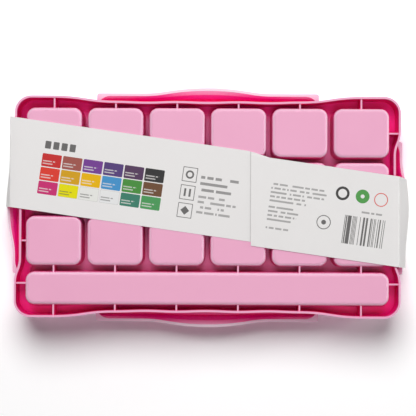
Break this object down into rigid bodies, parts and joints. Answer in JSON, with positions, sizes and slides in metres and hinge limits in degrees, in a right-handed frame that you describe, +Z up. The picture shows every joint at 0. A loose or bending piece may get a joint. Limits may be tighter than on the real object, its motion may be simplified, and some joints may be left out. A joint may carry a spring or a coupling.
{
  "type": "gouache paint box",
  "caption": "Flat moulded paint box with a lift-off lid, drop-in paint cups, mixing palette and brushes, held shut by a loose slanting card sleeve.",
  "frame": {"origin": "on the surface that the box stands on, under the middle of its plan", "axes": "+X along the length, +Y away from the brush well, +Z up through the lid"},
  "size_m": [0.333, 0.1978, 0.0466],
  "materials": {
    "pink_case": "moulded polypropylene, satin",
    "white_palette": "glossy white moulding",
    "white_cup": "thin white moulding",
    "card": "matt coated card",
    "handle_wood": "clear-lacquered birch",
    "ferrule_metal": "polished tube",
    "brush_hair": "soft brown filament",
    "paint_red": "wet gouache paste",
    "paint_russet": "wet gouache paste",
    "paint_violet": "wet gouache paste",
    "paint_ultramarine": "wet gouache paste",
    "paint_plum": "wet gouache paste",
    "paint_black": "wet gouache paste",
    "paint_vermilion": "wet gouache paste",
    "paint_ochre": "wet gouache paste",
    "paint_yellow": "wet gouache paste",
    "paint_blue": "wet gouache paste",
    "paint_green": "wet gouache paste",
    "paint_brown": "wet gouache paste",
    "paint_rose": "wet gouache paste",
    "paint_lemon": "wet gouache paste",
    "paint_ivory": "wet gouache paste",
    "paint_white": "wet gouache paste",
    "paint_viridian": "wet gouache paste",
    "paint_leaf": "wet gouache paste"
  },
  "bodies": {
    "case": {"case_tray": "pink_case"},
    "lid": {"lid": "pink_case"},
    "palette": {"mixing_palette": "white_palette"},
    "sleeve": {"card_sleeve": "card"},
    "cup_01": {"paint_cup_01": "white_cup", "gouache_01": "paint_red"},
    "cup_02": {"paint_cup_02": "white_cup", "gouache_02": "paint_russet"},
    "cup_03": {"paint_cup_03": "white_cup", "gouache_03": "paint_violet"},
    "cup_04": {"paint_cup_04": "white_cup", "gouache_04": "paint_ultramarine"},
    "cup_05": {"paint_cup_05": "white_cup", "gouache_05": "paint_plum"},
    "cup_06": {"paint_cup_06": "white_cup", "gouache_06": "paint_black"},
    "cup_07": {"paint_cup_07": "white_cup", "gouache_07": "paint_vermilion"},
    "cup_08": {"paint_cup_08": "white_cup", "gouache_08": "paint_ochre"},
    "cup_09": {"paint_cup_09": "white_cup", "gouache_09": "paint_yellow"},
    "cup_10": {"paint_cup_10": "white_cup", "gouache_10": "paint_blue"},
    "cup_11": {"paint_cup_11": "white_cup", "gouache_11": "paint_green"},
    "cup_12": {"paint_cup_12": "white_cup", "gouache_12": "paint_brown"},
    "cup_13": {"paint_cup_13": "white_cup", "gouache_13": "paint_rose"},
    "cup_14": {"paint_cup_14": "white_cup", "gouache_14": "paint_lemon"},
    "cup_15": {"paint_cup_15": "white_cup", "gouache_15": "paint_ivory"},
    "cup_16": {"paint_cup_16": "white_cup", "gouache_16": "paint_white"},
    "cup_17": {"paint_cup_17": "white_cup", "gouache_17": "paint_viridian"},
    "cup_18": {"paint_cup_18": "white_cup", "gouache_18": "paint_leaf"},
    "large_brush": {"large_brush_handle": "handle_wood", "large_brush_ferrule": "ferrule_metal", "large_brush_hair": "brush_hair"},
    "medium_brush": {"medium_brush_handle": "handle_wood", "medium_brush_ferrule": "ferrule_metal", "medium_brush_hair": "brush_hair"},
    "small_brush": {"small_brush_handle": "handle_wood", "small_brush_ferrule": "ferrule_metal", "small_brush_hair": "brush_hair"}
  },
  "joints": [
    {"name": "lid_lift", "type": "slide", "parent": "case", "child": "lid", "axis": [0, 0, 1], "range_m": [0, 0.18], "deforming": ["card_sleeve"]},
    {"name": "sleeve_slide", "type": "slide", "parent": "case", "child": "sleeve", "axis": [0, 1, 0], "range_m": [0, 0.17]},
    {"name": "palette_lift", "type": "slide", "parent": "case", "child": "palette", "axis": [0, 0, 1], "range_m": [0, 0.108]},
    {"name": "cup_01_lift", "type": "slide", "parent": "case", "child": "cup_01", "axis": [0, 0, 1], "range_m": [0, 0.045]},
    {"name": "cup_02_lift", "type": "slide", "parent": "case", "child": "cup_02", "axis": [0, 0, 1], "range_m": [0, 0.045]},
    {"name": "cup_03_lift", "type": "slide", "parent": "case", "child": "cup_03", "axis": [0, 0, 1], "range_m": [0, 0.045]},
    {"name": "cup_04_lift", "type": "slide", "parent": "case", "child": "cup_04", "axis": [0, 0, 1], "range_m": [0, 0.045]},
    {"name": "cup_05_lift", "type": "slide", "parent": "case", "child": "cup_05", "axis": [0, 0, 1], "range_m": [0, 0.045]},
    {"name": "cup_06_lift", "type": "slide", "parent": "case", "child": "cup_06", "axis": [0, 0, 1], "range_m": [0, 0.045]},
    {"name": "cup_07_lift", "type": "slide", "parent": "case", "child": "cup_07", "axis": [0, 0, 1], "range_m": [0, 0.045]},
    {"name": "cup_08_lift", "type": "slide", "parent": "case", "child": "cup_08", "axis": [0, 0, 1], "range_m": [0, 0.045]},
    {"name": "cup_09_lift", "type": "slide", "parent": "case", "child": "cup_09", "axis": [0, 0, 1], "range_m": [0, 0.045]},
    {"name": "cup_10_lift", "type": "slide", "parent": "case", "child": "cup_10", "axis": [0, 0, 1], "range_m": [0, 0.045]},
    {"name": "cup_11_lift", "type": "slide", "parent": "case", "child": "cup_11", "axis": [0, 0, 1], "range_m": [0, 0.045]},
    {"name": "cup_12_lift", "type": "slide", "parent": "case", "child": "cup_12", "axis": [0, 0, 1], "range_m": [0, 0.045]},
    {"name": "cup_13_lift", "type": "slide", "parent": "case", "child": "cup_13", "axis": [0, 0, 1], "range_m": [0, 0.045]},
    {"name": "cup_14_lift", "type": "slide", "parent": "case", "child": "cup_14", "axis": [0, 0, 1], "range_m": [0, 0.045]},
    {"name": "cup_15_lift", "type": "slide", "parent": "case", "child": "cup_15", "axis": [0, 0, 1], "range_m": [0, 0.045]},
    {"name": "cup_16_lift", "type": "slide", "parent": "case", "child": "cup_16", "axis": [0, 0, 1], "range_m": [0, 0.045]},
    {"name": "cup_17_lift", "type": "slide", "parent": "case", "child": "cup_17", "axis": [0, 0, 1], "range_m": [0, 0.045]},
    {"name": "cup_18_lift", "type": "slide", "parent": "case", "child": "cup_18", "axis": [0, 0, 1], "range_m": [0, 0.045]},
    {"name": "large_brush_lift", "type": "slide", "parent": "case", "child": "large_brush", "axis": [0, 0, 1], "range_m": [0, 0.063]},
    {"name": "medium_brush_lift", "type": "slide", "parent": "case", "child": "medium_brush", "axis": [0, 0, 1], "range_m": [0, 0.063]},
    {"name": "small_brush_lift", "type": "slide", "parent": "case", "child": "small_brush", "axis": [0, 0, 1], "range_m": [0, 0.063]}
  ],
  "couplings": [
    {"joint": "palette_lift", "follows": "lid_lift", "ratio": 0.6},
    {"joint": "cup_01_lift", "follows": "lid_lift", "ratio": 0.25},
    {"joint": "cup_02_lift", "follows": "lid_lift", "ratio": 0.25},
    {"joint": "cup_03_lift", "follows": "lid_lift", "ratio": 0.25},
    {"joint": "cup_04_lift", "follows": "lid_lift", "ratio": 0.25},
    {"joint": "cup_05_lift", "follows": "lid_lift", "ratio": 0.25},
    {"joint": "cup_06_lift", "follows": "lid_lift", "ratio": 0.25},
    {"joint": "cup_07_lift", "follows": "lid_lift", "ratio": 0.25},
    {"joint": "cup_08_lift", "follows": "lid_lift", "ratio": 0.25},
    {"joint": "cup_09_lift", "follows": "lid_lift", "ratio": 0.25},
    {"joint": "cup_10_lift", "follows": "lid_lift", "ratio": 0.25},
    {"joint": "cup_11_lift", "follows": "lid_lift", "ratio": 0.25},
    {"joint": "cup_12_lift", "follows": "lid_lift", "ratio": 0.25},
    {"joint": "cup_13_lift", "follows": "lid_lift", "ratio": 0.25},
    {"joint": "cup_14_lift", "follows": "lid_lift", "ratio": 0.25},
    {"joint": "cup_15_lift", "follows": "lid_lift", "ratio": 0.25},
    {"joint": "cup_16_lift", "follows": "lid_lift", "ratio": 0.25},
    {"joint": "cup_17_lift", "follows": "lid_lift", "ratio": 0.25},
    {"joint": "cup_18_lift", "follows": "lid_lift", "ratio": 0.25},
    {"joint": "large_brush_lift", "follows": "lid_lift", "ratio": 0.35},
    {"joint": "medium_brush_lift", "follows": "lid_lift", "ratio": 0.35},
    {"joint": "small_brush_lift", "follows": "lid_lift", "ratio": 0.35}
  ]
}
